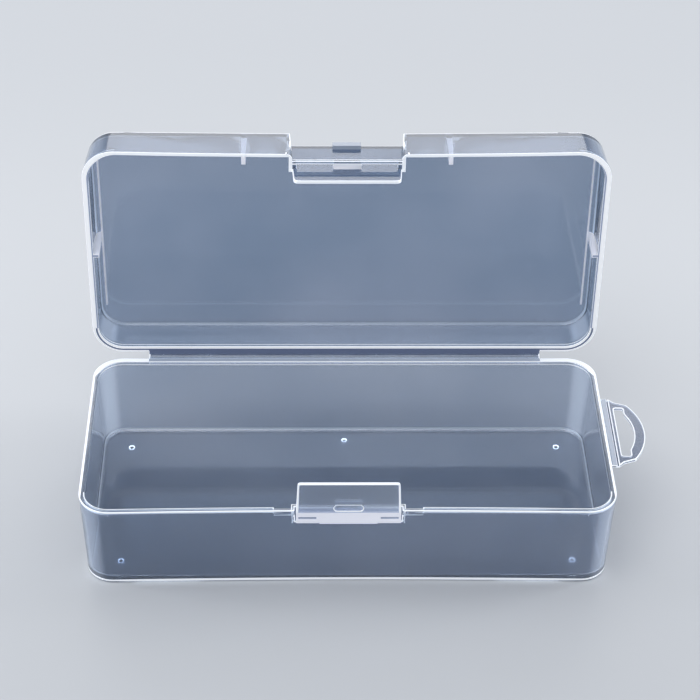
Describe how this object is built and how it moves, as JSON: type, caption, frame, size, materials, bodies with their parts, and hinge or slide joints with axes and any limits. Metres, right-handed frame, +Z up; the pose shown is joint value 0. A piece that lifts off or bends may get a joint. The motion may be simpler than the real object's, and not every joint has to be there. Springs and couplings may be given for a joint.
{
  "type": "hinged storage box",
  "caption": "Clear rectangular hinged box with rounded corners, a snap latch flap in a front recess, locating ribs in the lid and a fold-out hanging loop at one end.",
  "frame": {"origin": "centre of the tray's flat underside, half a millimetre above the tips of its four feet", "axes": "+X towards the end with the hanging loop, +Y from the latch to the lid hinge, +Z up"},
  "size_m": [0.2035, 0.106, 0.1251],
  "materials": {
    "clear_plastic": "clear polypropylene, slightly milky and bluish, glossy, with bright edges",
    "frosted_plastic": "the same polypropylene, thicker and cloudier at the latch"
  },
  "bodies": {
    "tray": {"base_tray": "clear_plastic", "lid_hinge_film": "clear_plastic", "latch_film": "frosted_plastic", "loop_film": "clear_plastic"},
    "lid": {"lid_cover": "clear_plastic"},
    "latch": {"latch_flap": "frosted_plastic"},
    "loop": {"hang_loop": "clear_plastic"}
  },
  "joints": [
    {"name": "lid_hinge", "type": "hinge", "parent": "tray", "child": "lid", "pos_m": [0, 0.0458, 0.034], "axis": [-1, 0, 0], "range_deg": [-90, 90]},
    {"name": "latch_hinge", "type": "hinge", "parent": "tray", "child": "latch", "pos_m": [0, -0.0439, 0.02895], "axis": [1, 0, 0], "range_deg": [0, 150]},
    {"name": "loop_hinge", "type": "hinge", "parent": "tray", "child": "loop", "pos_m": [0.0967, 0, 0.0331], "axis": [0, 1, 0], "range_deg": [0, 90]}
  ]
}
